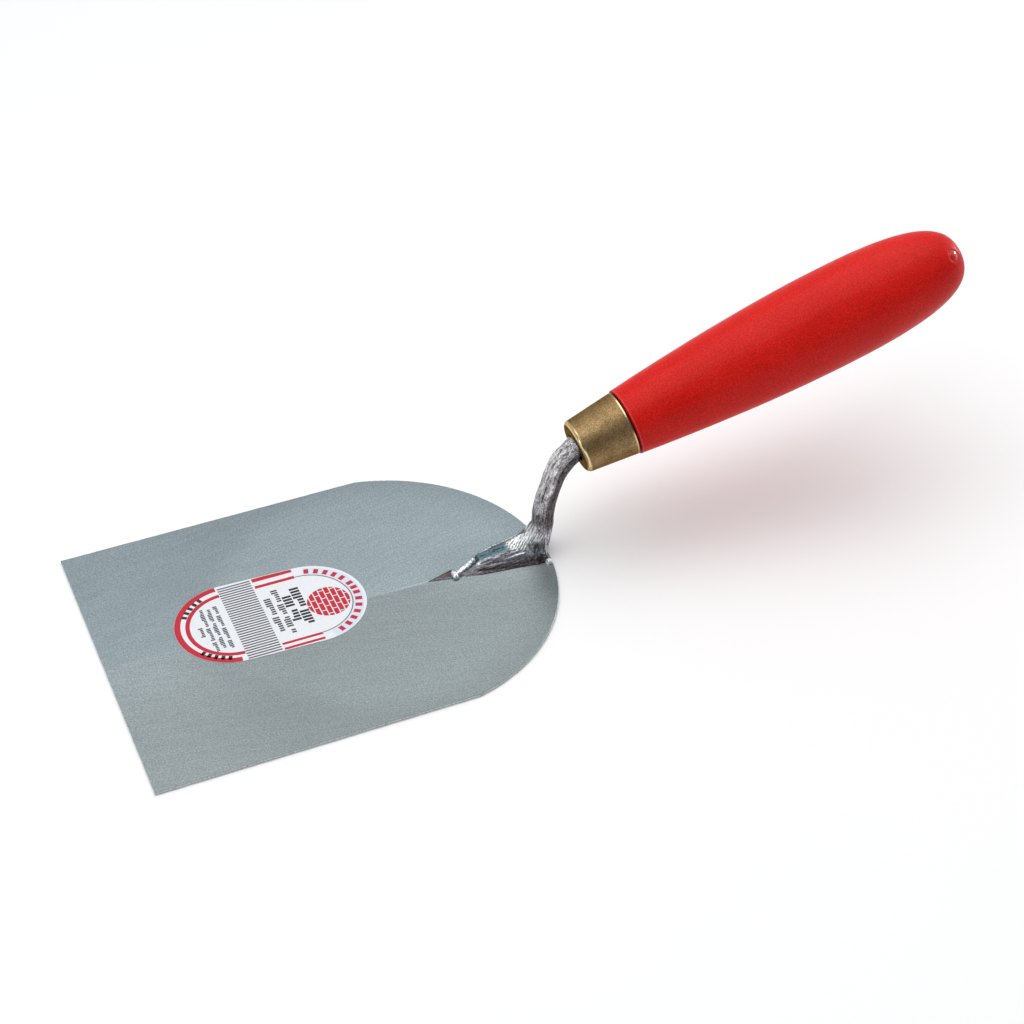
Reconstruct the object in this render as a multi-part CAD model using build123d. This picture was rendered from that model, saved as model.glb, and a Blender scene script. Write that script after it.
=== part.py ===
"""Brick trowel with a square-toed blade, a forged S-neck, a brass ferrule and a turned handle.

Millimetres. The origin is the centre of the blade's underside, +X runs from the toe to the
handle, +Y is the left side and +Z is up, so the trowel lies on its blade as it does on a board.
"""
import os
from math import cos, pi, radians, sin, sqrt, tan

from build123d import *

# Blade: flat sheet with a square toe, parallel sides and one round heel.
BLADE_LENGTH = 160.0
BLADE_WIDTH = 123.8
BLADE_THICKNESS = 1.0
HEEL_RADIUS = 63.4

# Paper label: a stadium, laid by hand, so a little off centre and askew.
LABEL_LENGTH = 67.1
LABEL_WIDTH = 40.3
LABEL_THICKNESS = 0.12
LABEL_X = -20.2
LABEL_Y = 4.6
LABEL_ANGLE = -2.7

# Handle axis: it rises from the seam between ferrule and handle, in the plane Y = 0.
SEAM_X = 110.8
SEAM_Z = 45.6
HANDLE_TILT = 15.4

# Turned handle, measured along its axis from the seam.
HANDLE_LENGTH = 134.4
HANDLE_FRONT_RADIUS = 12.1
HANDLE_MAX_RADIUS = 17.5
HANDLE_MAX_AT = 80.3
SWELL_POWER = 1.68
BUTT_POWER = 2.9
LIP_RADIUS = 0.5
SEAM_GAP = 0.45

# Drawn brass ferrule, a tapered cup with a hole for the neck.
FERRULE_LENGTH = 19.2
FERRULE_REAR_RADIUS = 11.7
FERRULE_FRONT_RADIUS = 9.6
FERRULE_WALL = 0.8
FERRULE_NOSE_RADIUS = 1.9
FERRULE_MOUTH_RADIUS = 5.0

# Forged neck: a round bar from the foot to the ferrule, then a tapered tang inside the handle.
NECK_RADIUS = 3.85
NECK_FOOT_X = 79.6
NECK_LEAN = 70.0
NECK_KNEE_Z = 18.2
LOWER_BEND_RADIUS = 34.0
UPPER_BEND_RADIUS = 12.0
TANG_ROOT = -17.7
TANG_REACH = 62.0
TANG_TIP_RADIUS = 1.6

# Foot, hammered by hand and so a little lopsided. Each station is the distance ahead of the
# heel, then Y of the right base edge, of the crest and of the left base edge, then the height
# of the crest above the blade.
FOOT_STATIONS = [
    (34.0, -4.4, -2.9, -1.8, 0.7),
    (32.0, -4.9, -2.0, -1.0, 0.9),
    (29.5, -5.5, -1.1, 0.0, 1.3),
    (27.2, -6.1, -0.6, 1.4, 2.6),
    (25.6, -6.4, -0.2, 3.4, 4.6),
    (18.0, -7.4, -0.2, 6.3, 5.8),
    (13.0, -8.0, -0.1, 7.5, 6.5),
    (9.5, -8.5, 0.0, 8.1, 7.6),
    (2.0, -9.4, 0.0, 9.2, 9.0),
]
NOSE_AHEAD = FOOT_STATIONS[0][0]
SHOULDER_REACH = 0.38
RIGHT_SHOULDER_HEIGHT = 0.78
LEFT_SHOULDER_HEIGHT = 0.64

# Skirt that flares from the neck to the foot: distance ahead of the heel of the middle of its
# base and of its waist, with their half length and half width.
SKIRT_BASE_AHEAD = 5.6
SKIRT_BASE_HALF = (5.2, 9.3)
SKIRT_WAIST_AHEAD = 3.2
SKIRT_WAIST_HALF = (5.0, 6.3)
SKIRT_WAIST_HEIGHT = 5.5
SKIRT_HEIGHT = 12.0

# Spear point ahead of the foot, a low three-sided pyramid. The base rows are Y and the height
# above the blade of its right, top and left corners.
SPEAR_BASE = [(-4.4, 0.0), (-0.9, 1.1), (1.0, 0.0)]
SPEAR_BASE_AHEAD = 35.2
SPEAR_POINT_AHEAD = 46.0
SPEAR_POINT_Y = -2.0

# Welds that hold the foot to the blade: a full bead on the left, only a tack at the heel on the
# right, and one across the base of the spear point that climbs the crest of the nose.
LEFT_BEAD_STATIONS = (0, 2, 4, 5, 8)
RIGHT_BEAD_STATIONS = (8,)
RIGHT_EDGE = 1
LEFT_EDGE = 3
BEAD_RADIUS = 0.8
BEAD_END_RADIUS = 1.4
TIP_BEAD_RADIUS = 0.9
TIP_BEAD_HALF_LENGTH = 1.1
TIP_BEAD_Y = -3.0
TIP_BEAD_RISE = 0.5
NOSE_BEAD_RADIUS = 0.85
NOSE_BEAD_LAST_STATION = 3

FERRULE_TAPER = (FERRULE_REAR_RADIUS - FERRULE_FRONT_RADIUS) / FERRULE_LENGTH
TENON_LENGTH = FERRULE_LENGTH - FERRULE_NOSE_RADIUS
HEEL_X = BLADE_LENGTH / 2
TOP_Z = BLADE_THICKNESS
GRIP = Plane(
    origin=(SEAM_X, 0, SEAM_Z),
    x_dir=(cos(radians(HANDLE_TILT)), 0, sin(radians(HANDLE_TILT))),
    z_dir=(0, -1, 0),
)


def handle_radius(along):
    """Radius of the handle ahead of its widest ring, at a distance along its axis."""
    swell = (1 - along / HANDLE_MAX_AT) ** SWELL_POWER
    return HANDLE_MAX_RADIUS - (HANDLE_MAX_RADIUS - HANDLE_FRONT_RADIUS) * swell


def blade():
    half = BLADE_WIDTH / 2
    corner_x = HEEL_X - HEEL_RADIUS + sqrt(HEEL_RADIUS ** 2 - half ** 2)
    left_side = Line((-HEEL_X, half), (corner_x, half))
    right_side = Line((corner_x, -half), (-HEEL_X, -half))
    heel = ThreePointArc((corner_x, half), (HEEL_X, 0), (corner_x, -half))
    toe = Line((-HEEL_X, -half), (-HEEL_X, half))
    outline = make_face(left_side + heel + right_side + toe)
    return extrude(outline, BLADE_THICKNESS)


def label():
    stadium = SlotOverall(LABEL_LENGTH, LABEL_WIDTH)
    placed = Pos(LABEL_X, LABEL_Y, TOP_Z) * Rot(0, 0, LABEL_ANGLE) * stadium
    return extrude(placed, LABEL_THICKNESS, dir=(0, 0, 1))


def foot_section(ahead, right, crest_y, left, crest):
    """Gable-shaped section across the foot: base edges, two shoulders and a crest."""
    x = HEEL_X - ahead
    right_shoulder = crest_y + SHOULDER_REACH * (right - crest_y)
    left_shoulder = crest_y + SHOULDER_REACH * (left - crest_y)
    outline = Polyline(
        (x, right, TOP_Z),
        (x, right_shoulder, TOP_Z + RIGHT_SHOULDER_HEIGHT * crest),
        (x, crest_y, TOP_Z + crest),
        (x, left_shoulder, TOP_Z + LEFT_SHOULDER_HEIGHT * crest),
        (x, left, TOP_Z),
        close=True,
    )
    return make_face(outline)


def spear():
    """Pointed end of the foot, from its base just inside the nose to its tip on the blade."""
    base_x = HEEL_X - SPEAR_BASE_AHEAD
    base = make_face(Polyline([(base_x, y, TOP_Z + rise) for y, rise in SPEAR_BASE], close=True))
    nose_x = HEEL_X - NOSE_AHEAD
    back = make_face(Polyline([(nose_x, y, TOP_Z + rise / 2) for y, rise in SPEAR_BASE], close=True))
    tip = Vertex(HEEL_X - SPEAR_POINT_AHEAD, SPEAR_POINT_Y, TOP_Z)
    return loft([tip, base], ruled=True) + loft([base, back], ruled=True)


def foot():
    ridge = loft([foot_section(*station) for station in FOOT_STATIONS], ruled=True)
    return ridge + spear()


def skirt():
    """Flare that gathers the wide foot into the round neck."""
    base = Pos(HEEL_X - SKIRT_BASE_AHEAD, 0, TOP_Z) * Ellipse(*SKIRT_BASE_HALF)
    waist = Pos(HEEL_X - SKIRT_WAIST_AHEAD, 0, SKIRT_WAIST_HEIGHT) * Ellipse(*SKIRT_WAIST_HALF)
    collar = Pos(NECK_FOOT_X, 0, SKIRT_HEIGHT) * Circle(NECK_RADIUS)
    return loft([base, waist, collar])


def neck_path():
    knee = (NECK_FOOT_X, 0, NECK_KNEE_Z)
    axis_slope = tan(radians(HANDLE_TILT))
    lean_slope = tan(radians(NECK_LEAN))
    rise = SEAM_Z - NECK_KNEE_Z - axis_slope * (SEAM_X - NECK_FOOT_X)
    run = rise / (lean_slope - axis_slope)
    elbow = (NECK_FOOT_X + run, 0, NECK_KNEE_Z + lean_slope * run)
    end = GRIP.from_local_coords(Vector(TANG_ROOT, 0, 0))
    start = (NECK_FOOT_X, 0, SKIRT_HEIGHT)
    return FilletPolyline(
        start, knee, elbow, (end.X, end.Y, end.Z),
        radius=[LOWER_BEND_RADIUS, UPPER_BEND_RADIUS],
    )


def tang():
    outline = Polyline(
        (TANG_ROOT, 0),
        (TANG_ROOT, NECK_RADIUS),
        (TANG_REACH, TANG_TIP_RADIUS),
        (TANG_REACH + TANG_TIP_RADIUS, 0),
        close=True,
    )
    return GRIP * revolve(make_face(outline), Axis.X)


def neck():
    path = neck_path()
    start = Plane(origin=path @ 0, z_dir=path % 0)
    bar = sweep(start * Circle(NECK_RADIUS), path=path)
    return foot() + skirt() + bar + tang()


def capsule(first, second, radius):
    """Round-ended rod between two points that aren't one above the other."""
    run = second - first
    outline = Line((-radius, 0), (run.length + radius, 0))
    outline += ThreePointArc((-radius, 0), (-radius * sin(pi / 4), radius * sin(pi / 4)), (0, radius))
    outline += Line((0, radius), (run.length, radius))
    outline += RadiusArc((run.length, radius), (run.length + radius, 0), radius)
    rod = revolve(make_face(outline), Axis.X)
    return Plane(origin=first, x_dir=run, z_dir=run.cross(Vector(0, 0, 1))) * rod


def above_blade(solid):
    room = Box(BLADE_LENGTH, BLADE_WIDTH, SKIRT_HEIGHT, align=(Align.CENTER, Align.CENTER, Align.MIN))
    return solid & (Pos(0, 0, TOP_Z) * room)


def side_bead(base_edge, numbers, forging):
    """Fillet weld along one side of the foot, or with one station only its round crater at the heel."""
    corners = [
        Vector(HEEL_X - FOOT_STATIONS[number][0], FOOT_STATIONS[number][base_edge], TOP_Z)
        for number in numbers
    ]
    bead = Pos(corners[-1]) * Sphere(BEAD_END_RADIUS)
    for first, second in zip(corners, corners[1:]):
        bead += capsule(first, second, BEAD_RADIUS)
    return above_blade(bead) - forging


def tip_bead(forging, left_bead):
    """Weld laid across the foot where its point begins, and from there up the nose."""
    centre = Vector(HEEL_X - SPEAR_BASE_AHEAD, TIP_BEAD_Y, TOP_Z + TIP_BEAD_RISE)
    half_run = Vector(0, TIP_BEAD_HALF_LENGTH, 0)
    bead = capsule(centre - half_run, centre + half_run, TIP_BEAD_RADIUS)
    crest = [centre]
    for ahead, _, crest_y, _, rise in FOOT_STATIONS[:NOSE_BEAD_LAST_STATION + 1]:
        crest.append(Vector(HEEL_X - ahead, crest_y, TOP_Z + rise))
    for first, second in zip(crest, crest[1:]):
        bead += capsule(first, second, NOSE_BEAD_RADIUS)
    return above_blade(bead) - forging - left_bead


def ferrule():
    wall_end = -TENON_LENGTH
    outer_rim = FERRULE_REAR_RADIUS - FERRULE_TAPER * TENON_LENGTH
    nose_centre = outer_rim - FERRULE_NOSE_RADIUS
    inner_nose_radius = FERRULE_NOSE_RADIUS - FERRULE_WALL
    front = wall_end - FERRULE_NOSE_RADIUS
    skin = Line((0, FERRULE_REAR_RADIUS), (wall_end, outer_rim))
    nose = RadiusArc((wall_end, outer_rim), (front, nose_centre), -FERRULE_NOSE_RADIUS)
    mouth = Polyline(
        (front, nose_centre),
        (front, FERRULE_MOUTH_RADIUS),
        (front + FERRULE_WALL, FERRULE_MOUTH_RADIUS),
        (front + FERRULE_WALL, nose_centre),
    )
    inner_nose = RadiusArc(
        (front + FERRULE_WALL, nose_centre), (wall_end, nose_centre + inner_nose_radius), inner_nose_radius
    )
    inside = Polyline(
        (wall_end, nose_centre + inner_nose_radius),
        (0, FERRULE_REAR_RADIUS - FERRULE_WALL),
        (0, FERRULE_REAR_RADIUS),
    )
    return GRIP * revolve(make_face(skin + nose + mouth + inner_nose + inside), Axis.X)


def butt_point(part_turn):
    """Point of the superelliptic butt, from the widest ring (0) to the pole (1)."""
    angle = part_turn * pi / 2
    reach = sin(angle) ** (2 / BUTT_POWER)
    radius = HANDLE_MAX_RADIUS * max(0.0, cos(angle)) ** (2 / BUTT_POWER)
    return (HANDLE_MAX_AT + (HANDLE_LENGTH - HANDLE_MAX_AT) * reach, radius)


def handle():
    root = FERRULE_REAR_RADIUS - FERRULE_WALL
    lip_end = SEAM_GAP + LIP_RADIUS
    lip_top = handle_radius(lip_end)
    shoulder = Polyline(
        (-TENON_LENGTH, 0),
        (-TENON_LENGTH, root - FERRULE_TAPER * TENON_LENGTH),
        (0, root),
        (SEAM_GAP, root),
        (SEAM_GAP, lip_top - LIP_RADIUS),
    )
    lip = RadiusArc((SEAM_GAP, lip_top - LIP_RADIUS), (lip_end, lip_top), LIP_RADIUS)
    swell = Spline([(at, handle_radius(at)) for at in (lip_end, 20, 40, 60, HANDLE_MAX_AT)])
    butt = Spline(
        [butt_point(step / 8) for step in range(8)] + [(HANDLE_LENGTH, 0)],
        tangents=[(1, 0), (0, -1)],
    )
    axis = Line((HANDLE_LENGTH, 0), (-TENON_LENGTH, 0))
    body = revolve(make_face(shoulder + lip + swell + butt + axis), Axis.X)
    return GRIP * body - tang()


def main():
    os.makedirs("parts", exist_ok=True)
    forging = neck()
    right_bead = side_bead(RIGHT_EDGE, RIGHT_BEAD_STATIONS, forging)
    left_bead = side_bead(LEFT_EDGE, LEFT_BEAD_STATIONS, forging)
    nodes = {
        "blade": blade(),
        "label": label(),
        "neck": forging,
        "weld_left": left_bead,
        "weld_right": right_bead,
        "weld_tip": tip_bead(forging, left_bead),
        "ferrule": ferrule(),
        "handle": handle(),
    }
    for name, shape in nodes.items():
        export_step(shape, f"parts/{name}.step")
        print(name, round(shape.volume, 1), len(shape.solids()))


main()
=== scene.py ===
"""Looks of the brick trowel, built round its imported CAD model, in the CAD's own frame and metres."""
import math

import bpy
import numpy as np
from mathutils import Matrix, Vector, noise


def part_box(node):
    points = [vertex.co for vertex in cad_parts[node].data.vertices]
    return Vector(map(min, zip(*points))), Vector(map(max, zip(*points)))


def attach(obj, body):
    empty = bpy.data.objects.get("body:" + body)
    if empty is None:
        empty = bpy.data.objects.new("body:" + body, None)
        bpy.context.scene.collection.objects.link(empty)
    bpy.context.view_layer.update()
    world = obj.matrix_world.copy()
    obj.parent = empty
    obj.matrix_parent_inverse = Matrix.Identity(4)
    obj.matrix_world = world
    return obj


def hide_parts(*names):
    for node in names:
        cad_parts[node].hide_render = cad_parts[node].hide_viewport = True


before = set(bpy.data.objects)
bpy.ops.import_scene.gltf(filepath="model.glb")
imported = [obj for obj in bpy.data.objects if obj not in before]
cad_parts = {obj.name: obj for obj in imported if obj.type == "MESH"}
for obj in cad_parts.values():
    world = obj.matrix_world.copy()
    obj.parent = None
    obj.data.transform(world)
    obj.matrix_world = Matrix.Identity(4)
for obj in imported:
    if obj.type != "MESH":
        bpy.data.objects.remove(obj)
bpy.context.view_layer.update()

MM = 0.001

# Blade and label, as in the CAD: corners and heights in metres, the rest in millimetres.
BLADE_LOW, BLADE_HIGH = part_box("blade")
BLADE_TOP = BLADE_HIGH.z
LABEL_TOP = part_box("label")[1].z
HEEL_RADIUS = 63.4
LABEL_LENGTH = 67.1
LABEL_WIDTH = 40.3
LABEL_X = -20.2
LABEL_Y = 4.6
LABEL_ANGLE = math.radians(-2.7)

# Finish of both, in millimetres: the rim's chamfer and wear, and ink printed a little askew.
RIM_CHAMFER = 0.12
RIM_WEAR = 0.16
INK_THICKNESS = 0.015
PRINT_ANGLE = math.radians(-0.5)

# Axis of the grip: it rises from the seam between ferrule and handle.
SEAM = Vector((110.8, 0, 45.6)) * MM
HANDLE_TILT = math.radians(15.4)

# Handle and ferrule, in millimetres along that axis, as in the CAD.
HANDLE_LENGTH = 134.4
HANDLE_FRONT_RADIUS = 12.1
HANDLE_MAX_RADIUS = 17.5
HANDLE_MAX_AT = 80.3
SWELL_POWER = 1.68
BUTT_POWER = 2.9
SEAM_GAP = 0.45
LIP_RADIUS = 0.5
FERRULE_LENGTH = 19.2
FERRULE_REAR_RADIUS = 11.7
FERRULE_FRONT_RADIUS = 9.6
FERRULE_WALL = 0.8
FERRULE_NOSE_RADIUS = 1.9
FERRULE_MOUTH_RADIUS = 5.0
TENON_LENGTH = FERRULE_LENGTH - FERRULE_NOSE_RADIUS
TANG_REACH = 62.0
TANG_TIP_RADIUS = 1.6

# Neck, as in the CAD: a round bar that rises from the foot and bends twice to reach the ferrule.
NECK_RADIUS = 3.85
NECK_FOOT_X = 79.6
NECK_LEAN = math.radians(70)
NECK_KNEE_Z = 18.2
LOWER_BEND_RADIUS = 34.0
UPPER_BEND_RADIUS = 12.0

# Foot stations as in the CAD: distance ahead of the heel, Y of the right base edge and of the crest.
FOOT_STATIONS = [
    (34.0, -4.4, -2.9), (32.0, -4.9, -2.0), (29.5, -5.5, -1.1), (27.2, -6.1, -0.6), (25.6, -6.4, -0.2),
    (18.0, -7.4, -0.2), (13.0, -8.0, -0.1), (9.5, -8.5, 0.0), (2.0, -9.4, 0.0),
]

# Crown of the blade: how far it lies right of the middle, and how that grows towards the heel.
CROWN_OFFSET = 1.0
CROWN_SLOPE = 0.024

# File strokes on the skirt run across this direction, a pitch apart. The cold shut, a narrow lap
# in the forging, runs along the bar at one angle round it, between two distances from its foot.
FILE_SWEEP = (0.81, -0.67, -0.39)
FILE_PITCH = 1.05
SHUT_ANGLE = math.radians(-40)
SHUT_START = 20.3
SHUT_END = 28.8


def smoothstep(low, high, value):
    """Smooth rise from 0 at low to 1 at high, or a fall where low is the greater."""
    share = np.clip((value - low) / (high - low), 0, 1)
    return share * share * (3 - 2 * share)


def arc_points(centre, radius, first, last, steps):
    """Points of an arc in a plane, between two angles in degrees."""
    return [
        (centre[0] + radius * math.cos(a), centre[1] + radius * math.sin(a))
        for a in np.radians(np.linspace(first, last, steps))
    ]


def bell(value, middle, width):
    """Smooth hump that is 1 at its middle and fades to 0 within about two widths."""
    return np.exp(-((value - middle) / width) ** 2)


def noise_at(points, scale, shift=0.0):
    """Smooth noise from -1 to 1 at each point, with lumps the smaller the larger the scale."""
    scaled = points * np.asarray(scale) + shift
    return np.array([noise.noise(Vector(p)) for p in scaled])


def add_piece(name, mesh, material, slot, *nodes):
    """Puts a finished mesh in the scene as a piece that stands for the given CAD nodes."""
    piece = bpy.data.objects.new(name, mesh)
    bpy.context.scene.collection.objects.link(piece)
    materials = material if isinstance(material, tuple) else (material,)
    mesh.materials.clear()
    for finish in materials:
        mesh.materials.append(finish)
    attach(piece, "root")
    if nodes:
        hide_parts(*nodes)


def make_mesh(name, vertices, faces, smooth):
    mesh = bpy.data.meshes.new(name)
    mesh.from_pydata([tuple(v) for v in vertices], [], faces)
    mesh.validate()
    mesh.update()
    mesh.polygons.foreach_set("use_smooth", [smooth] * len(mesh.polygons))
    return mesh


def store_vectors(mesh, name, values):
    attribute = mesh.attributes.new(name, "FLOAT_VECTOR", "POINT")
    attribute.data.foreach_set("vector", np.asarray(values, np.float32).ravel())


def store_colours(mesh, name, values):
    attribute = mesh.attributes.new(name, "FLOAT_COLOR", "POINT")
    opaque = np.column_stack([values, np.ones(len(values))])
    attribute.data.foreach_set("color", opaque.astype(np.float32).ravel())


# ---------------------------------------------------------------- materials


class Recipe:
    """A material's node tree, with short ways to add nodes and join them."""

    def __init__(self, name, **finish):
        """Starts a material, with the values that are the same all over set on its shader."""
        self.material = bpy.data.materials.new(name)
        self.material.use_nodes = True
        self.tree = self.material.node_tree
        self.shader = next(n for n in self.tree.nodes if n.type == "BSDF_PRINCIPLED")
        for key, value in finish.items():
            self.shader.inputs[key.replace("_", " ")].default_value = value

    def add(self, kind, inputs=(), **settings):
        node = self.tree.nodes.new("ShaderNode" + kind)
        for key, value in settings.items():
            setattr(node, key, value)
        for socket, value in dict(inputs).items():
            self.set(node.inputs[socket], value)
        return node

    def set(self, socket, value):
        if isinstance(value, bpy.types.NodeSocket):
            self.tree.links.new(value, socket)
        else:
            socket.default_value = value

    def place(self, scale=(1, 1, 1), turn=0.0, attribute=None):
        """Coordinates in metres, or a stored attribute, turned about Z and then stretched.

        With noise on the result, the scale is its number of lumps in a metre along each axis.
        """
        if attribute:
            source = self.add("Attribute", attribute_name=attribute).outputs["Vector"]
        else:
            source = self.add("TexCoord").outputs["Object"]
        turned = self.add("Mapping", {"Vector": source, "Rotation": (0, 0, turn)})
        return self.add("Mapping", {"Vector": turned.outputs[0], "Scale": scale}).outputs[0]

    def noise(self, where, detail=2.0, roughness=0.5, distortion=0.0):
        inputs = {"Vector": where, "Scale": 1.0, "Detail": detail}
        inputs.update({"Roughness": roughness, "Distortion": distortion})
        return self.add("TexNoise", inputs).outputs["Fac"]

    def spread(self, value, low, high, to_low, to_high, smooth=False):
        """Value mapped from one range to another, clamped."""
        inputs = {"Value": value, "From Min": low, "From Max": high}
        inputs.update({"To Min": to_low, "To Max": to_high})
        kind = "SMOOTHSTEP" if smooth else "LINEAR"
        return self.add("MapRange", inputs, interpolation_type=kind).outputs[0]

    def math(self, operation, first, second=0.0):
        return self.add("Math", {0: first, 1: second}, operation=operation).outputs[0]

    def mix(self, share, first, second):
        node = self.add("Mix", data_type="RGBA")
        self.set(node.inputs[0], share)
        self.set(node.inputs[6], first)
        self.set(node.inputs[7], second)
        return node.outputs[2]

    def scaled(self, colour, factor):
        """Colour multiplied by a number."""
        node = self.add("VectorMath", {0: colour}, operation="SCALE")
        self.set(node.inputs["Scale"], factor)
        return node.outputs[0]

    def bump(self, height, distance):
        return self.add("Bump", {"Height": height, "Strength": 1.0, "Distance": distance}).outputs[0]

    def finish(self, **sockets):
        """Sets or joins the shader's sockets by name, and returns the material."""
        for key, value in sockets.items():
            self.set(self.shader.inputs[key.replace("_", " ")], value)
        return self.material


def rgb(red, green, blue):
    """Linear colour from display values of 0 to 255."""
    def linear(value):
        share = value / 255
        return share / 12.92 if share <= 0.04045 else ((share + 0.055) / 1.055) ** 2.4
    return (linear(red), linear(green), linear(blue), 1.0)


def blade_steel():
    """Cold-rolled sheet, ground from both sides towards a faint centre line, the crown."""
    steel = Recipe("ground_steel", Metallic=1.0)
    where = steel.add("TexCoord").outputs["Object"]
    place = steel.add("SeparateXYZ", {0: where})
    x, y = place.outputs[0], place.outputs[1]
    drift = steel.math("MULTIPLY", x, CROWN_SLOPE)
    across = steel.math("ADD", steel.math("ADD", y, drift), CROWN_OFFSET * MM)
    side = steel.spread(across, -0.6 * MM, 0.6 * MM, 0, 1, smooth=True)

    far_lines = steel.noise(steel.place((90, 1500, 400), math.radians(-10)), 3, 0.6)
    near_lines = steel.noise(steel.place((90, 1500, 400), math.radians(13)), 3, 0.6)
    lines = steel.add("Mix", {0: side, 2: near_lines, 3: far_lines}, data_type="FLOAT").outputs[0]
    grain = steel.noise(steel.place((1700, 2600, 900)), 3, 0.9)
    base = blade_tone(steel, x, across, side)
    base = steel.scaled(base, steel.spread(lines, 0.3, 0.7, 0.93, 1.07))
    base = steel.scaled(base, steel.spread(grain, 0.38, 0.62, 0.68, 1.32))
    base = shade_round_foot(steel, base, x, across, side)
    base = shade_by_heel(steel, base, where)

    rough = steel.spread(lines, 0.3, 0.7, 0.39, 0.45)
    height = steel.math("ADD", lines, steel.math("MULTIPLY", grain, 0.5))
    normal = steel.bump(height, 0.02 * MM)
    return steel.finish(Base_Color=base, Roughness=rough, Normal=normal)


def blade_tone(steel, x, across, side):
    """Tone of the steel, which differs a little on the crown's two sides and towards the toe: the two
    sides' tones and the lightening towards the toe are painted reflection.
    """
    cloud = steel.noise(steel.place((26, 38, 26), math.radians(-8)), 3, 0.55)
    far = steel.mix(steel.spread(cloud, 0.3, 0.7, 0, 1), rgb(149, 162, 167), rgb(153, 165, 169))
    by_crown = steel.spread(across, -45 * MM, -1 * MM, 0, 1, smooth=True)
    by_toe = steel.spread(x, -20 * MM, -70 * MM, 0, 1, smooth=True)
    # Painted reflection: lighter towards the toe on both sides, and lightest beside the crown on the
    # near side.
    far = steel.scaled(far, steel.spread(by_toe, 0, 1, 0.99, 1.09))
    near = steel.mix(by_toe, rgb(139, 148, 149), rgb(150, 159, 161))
    near = steel.mix(steel.math("MULTIPLY", by_crown, by_toe), near, rgb(163, 173, 176))
    return steel.mix(side, near, far)


def shade_round_foot(steel, base, x, across, side):
    """Painted reflection beside the foot, lighter on the near side and darker on the far side, and a
    painted highlight along the crown ahead of it.
    """
    from_crown = steel.math("ABSOLUTE", across)
    along_foot = steel.spread(x, 26 * MM, 56 * MM, 0, 1, smooth=True)
    near_crown = steel.spread(from_crown, 18 * MM, 7 * MM, 0, 1, smooth=True)
    beside_foot = steel.math("MULTIPLY", along_foot, near_crown)
    # Painted reflection: the steel beside the foot is lighter on the near side and darker on the far
    # side.
    shade = steel.spread(side, 0, 1, 1.15, 0.9)
    base = steel.scaled(base, steel.spread(beside_foot, 0, 1, 1, shade))
    # Painted highlight: a bright line along the crown ahead of the foot.
    at_crown = steel.spread(from_crown, 0.7 * MM, 0.2 * MM, 0, 1)
    line = steel.math("MULTIPLY", at_crown, steel.spread(x, 12 * MM, 28 * MM, 0, 1))
    return steel.scaled(base, steel.spread(line, 0, 1, 1, 1.3))


def shade_by_heel(steel, base, where):
    """Slow darkening over the last of the sheet before its round heel."""
    centre = (BLADE_HIGH.x - HEEL_RADIUS * MM, 0, 0)
    gap = steel.add("VectorMath", {0: where, 1: centre}, operation="DISTANCE").outputs["Value"]
    shade = steel.spread(gap, (HEEL_RADIUS - 14) * MM, HEEL_RADIUS * MM, 1, 0.88, smooth=True)
    return steel.scaled(base, shade)


def rim_steel():
    """Sheared edge of the sheet: darker, with short marks across its thickness."""
    steel = Recipe("sheared_steel", Metallic=1.0)
    marks = steel.noise(steel.place((1500, 1500, 250)), 3, 0.6)
    base = steel.mix(steel.spread(marks, 0.3, 0.7, 0, 1), rgb(168, 176, 180), rgb(204, 210, 212))
    rough = steel.spread(marks, 0.3, 0.7, 0.6, 0.4)
    return steel.finish(Base_Color=base, Roughness=rough, Normal=steel.bump(marks, 0.04 * MM))


def forged_steel():
    """Drop-forged bar and foot. The stored tint holds the colours of heat and grinding, with painted
    shade and painted highlights added to them.
    """
    steel = Recipe("forged_steel", Metallic=1.0)
    tint = steel.add("Attribute", attribute_name="tint").outputs["Color"]
    worked = steel.add("SeparateXYZ", {0: steel.place(attribute="worked")})
    filed, foot = worked.outputs[0], worked.outputs[1]
    streaks = steel.noise(steel.place((170, 1700, 1700), attribute="flow"), 3, 0.62, 0.3)
    fine = steel.noise(steel.place((700, 4200, 4200), attribute="flow"), 2, 0.7)
    scale = steel.noise(steel.place((330, 1000, 1000), attribute="flow"), 4, 0.65)
    flecks = steel.noise(steel.place((1300, 1300, 1300)), 2, 0.8)
    strokes = file_strokes(steel, filed)
    shut = cold_shut(steel)

    base = steel.scaled(tint, forged_tone(steel, streaks, fine, scale, foot))
    base = steel.scaled(base, steel.spread(flecks, 0.38, 0.62, 0.6, 1.4))
    # Painted highlight and shade on the file strokes: white on their crests and darker in their
    # troughs, over the bright filed metal.
    base = steel.mix(steel.spread(strokes, 0.0, 0.5, 0, 1), base, rgb(255, 255, 255))
    base = steel.scaled(base, steel.spread(strokes, -0.2, -0.8, 1, 0.5))
    base = steel.scaled(base, steel.spread(shut, 0, 1, 1, 0.03))

    rough = steel.spread(streaks, 0.35, 0.65, 0.44, 0.16)
    rough = steel.math("MAXIMUM", rough, steel.math("MULTIPLY", foot, 0.36))
    rough = steel.math("MAXIMUM", rough, steel.math("MULTIPLY", filed, 0.5))

    height = steel.math("ADD", streaks, steel.math("MULTIPLY", fine, 0.5))
    height = steel.math("SUBTRACT", height, steel.math("MULTIPLY", scale, 0.5))
    height = steel.math("MULTIPLY", height, steel.spread(foot, 0, 1, 1, 0.3))
    height = steel.math("ADD", height, steel.math("MULTIPLY", strokes, 0.4))
    height = steel.math("SUBTRACT", height, shut)
    normal = steel.bump(height, 0.34 * MM)
    return steel.finish(Base_Color=base, Roughness=rough, Normal=normal)


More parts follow.
